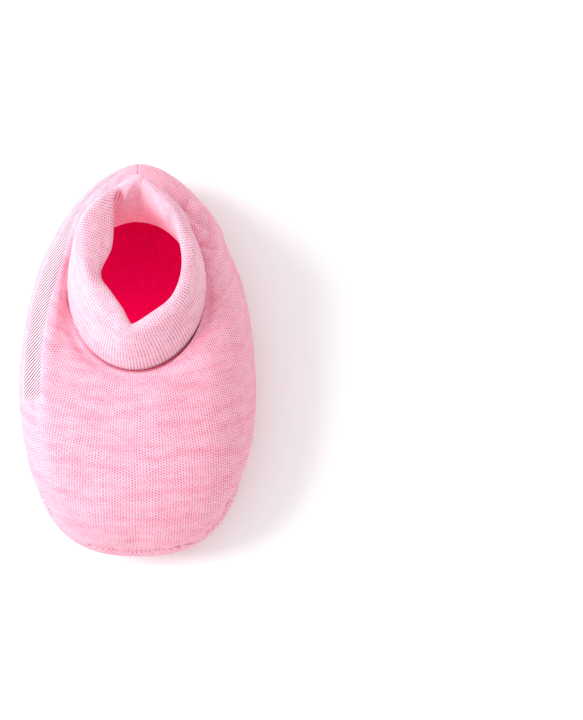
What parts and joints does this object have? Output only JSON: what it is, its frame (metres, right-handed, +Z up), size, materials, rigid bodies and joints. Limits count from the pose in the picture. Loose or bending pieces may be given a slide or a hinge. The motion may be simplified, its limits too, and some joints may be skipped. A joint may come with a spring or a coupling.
{
  "type": "baby bootie",
  "caption": "Soft sewn baby bootie in interlock jersey, with a lining, an egg-shaped sole, a domed upper and a folded ankle cuff.",
  "frame": {"origin": "on the floor, under the middle of the bootie's length and width", "axes": "+Z up, +Y from the toe to the heel, +X to the right as seen from above with the heel away from the viewer"},
  "size_m": [0.0654, 0.1097, 0.0482],
  "materials": {
    "outer_jersey": "matt melange interlock jersey",
    "cuff_jersey": "matt melange interlock jersey",
    "lining_jersey": "matt plain jersey",
    "seam_thread": "soft textured thread"
  },
  "bodies": {
    "root": {"outer_sole": "outer_jersey", "outer_upper": "outer_jersey", "cuff_band": "cuff_jersey", "lining_sole": "lining_jersey", "lining_upper": "lining_jersey", "outer_sole_seam_thread": "seam_thread", "lining_sole_seam_thread": "seam_thread", "cuff_seam_thread": "seam_thread", "outer_back_seam_thread": "seam_thread", "lining_back_seam_thread": "seam_thread", "cuff_back_seam_thread": "seam_thread"}
  },
  "joints": []
}
